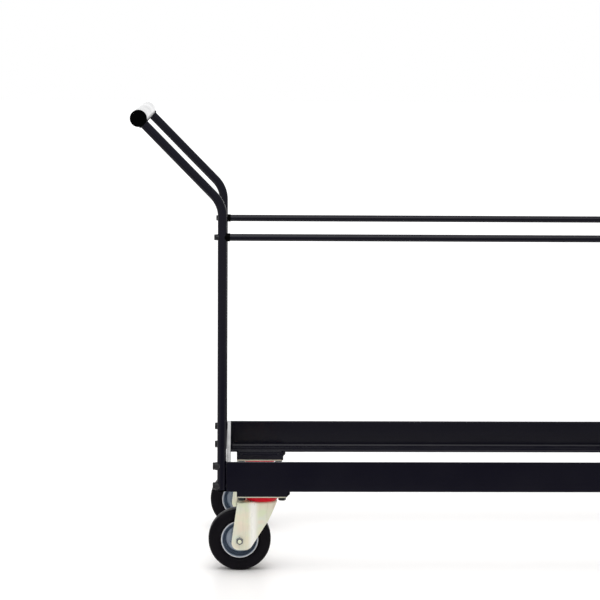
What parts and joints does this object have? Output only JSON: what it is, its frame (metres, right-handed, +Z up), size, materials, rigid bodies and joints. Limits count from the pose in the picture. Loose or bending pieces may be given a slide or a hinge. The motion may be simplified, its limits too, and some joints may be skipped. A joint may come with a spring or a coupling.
{
  "type": "folding chair trolley",
  "caption": "Push trolley for folding chairs: angle-iron base on casters, bent tube handle at one end, hoop at the other and a tube rail along each side.",
  "frame": {"origin": "on the floor, under the middle of the overall box", "axes": "+X along the trolley from the handle end to the front end, +Y to the left of someone pushing it, +Z up"},
  "size_m": [1.5168, 0.5, 0.9189],
  "materials": {
    "frame_paint": "satin powder coat",
    "black_plastic": "moulded",
    "zinc_plate": "zinc plated, pale yellow",
    "rim_steel": "zinc plated, blue white",
    "tyre_rubber": "smooth rubber",
    "dark_fasteners": "black oxide",
    "red_plastic": "moulded",
    "bearing_steel": "ground"
  },
  "bodies": {
    "frame": {"rear_end_bar": "frame_paint", "front_end_bar": "frame_paint", "right_base_rail": "frame_paint", "left_base_rail": "frame_paint", "right_handle_post": "frame_paint", "left_handle_post": "frame_paint", "handle_bar": "frame_paint", "front_hoop": "frame_paint", "right_side_rail": "frame_paint", "left_side_rail": "frame_paint", "caster_pads": "frame_paint", "handle_bar_plugs": "black_plastic", "post_foot_plugs": "black_plastic", "side_rail_spacers": "black_plastic", "side_rail_inserts": "zinc_plate", "side_rail_washers": "dark_fasteners", "side_rail_bolts": "dark_fasteners", "frame_bolts": "dark_fasteners", "frame_washers": "dark_fasteners", "caster_bolts": "dark_fasteners", "caster_washers": "dark_fasteners", "front_axle_bolts": "zinc_plate", "front_axle_nuts": "zinc_plate", "front_axle_sleeves": "zinc_plate", "rear_right_caster_plate": "zinc_plate", "rear_right_king_pin": "zinc_plate", "rear_right_lower_race": "bearing_steel", "rear_right_swivel_balls": "bearing_steel", "rear_right_dust_ring": "red_plastic", "front_right_caster_bracket": "zinc_plate", "rear_left_caster_plate": "zinc_plate", "rear_left_king_pin": "zinc_plate", "rear_left_lower_race": "bearing_steel", "rear_left_swivel_balls": "bearing_steel", "rear_left_dust_ring": "red_plastic", "front_left_caster_bracket": "zinc_plate"},
    "rear_right_swivel": {"rear_right_fork": "zinc_plate", "rear_right_axle_bolt": "zinc_plate", "rear_right_axle_nut": "zinc_plate", "rear_right_axle_sleeve": "zinc_plate"},
    "rear_left_swivel": {"rear_left_fork": "zinc_plate", "rear_left_axle_bolt": "zinc_plate", "rear_left_axle_nut": "zinc_plate", "rear_left_axle_sleeve": "zinc_plate"},
    "rear_right_wheel": {"rear_right_tyre": "tyre_rubber", "rear_right_rim": "rim_steel", "rear_right_rim_rivets": "rim_steel", "rear_right_roller_bearing": "bearing_steel"},
    "rear_left_wheel": {"rear_left_tyre": "tyre_rubber", "rear_left_rim": "rim_steel", "rear_left_rim_rivets": "rim_steel", "rear_left_roller_bearing": "bearing_steel"},
    "front_right_wheel": {"front_right_tyre": "tyre_rubber", "front_right_rim": "rim_steel", "front_right_rim_rivets": "rim_steel", "front_right_roller_bearing": "bearing_steel"},
    "front_left_wheel": {"front_left_tyre": "tyre_rubber", "front_left_rim": "rim_steel", "front_left_rim_rivets": "rim_steel", "front_left_roller_bearing": "bearing_steel"}
  },
  "joints": [
    {"name": "rear_right_swivel_turn", "type": "hinge", "parent": "frame", "child": "rear_right_swivel", "pos_m": [-0.4975, -0.205, 0.141], "axis": [0, 0, 1], "continuous": true},
    {"name": "rear_left_swivel_turn", "type": "hinge", "parent": "frame", "child": "rear_left_swivel", "pos_m": [-0.4975, 0.205, 0.141], "axis": [0, 0, 1], "continuous": true},
    {"name": "rear_right_wheel_spin", "type": "hinge", "parent": "rear_right_swivel", "child": "rear_right_wheel", "pos_m": [-0.5415, -0.205, 0.0625], "axis": [0, 1, 0], "continuous": true},
    {"name": "rear_left_wheel_spin", "type": "hinge", "parent": "rear_left_swivel", "child": "rear_left_wheel", "pos_m": [-0.5415, 0.205, 0.0625], "axis": [0, 1, 0], "continuous": true},
    {"name": "front_right_wheel_spin", "type": "hinge", "parent": "frame", "child": "front_right_wheel", "pos_m": [0.6605, -0.205, 0.0625], "axis": [0, 1, 0], "continuous": true},
    {"name": "front_left_wheel_spin", "type": "hinge", "parent": "frame", "child": "front_left_wheel", "pos_m": [0.6605, 0.205, 0.0625], "axis": [0, 1, 0], "continuous": true}
  ]
}
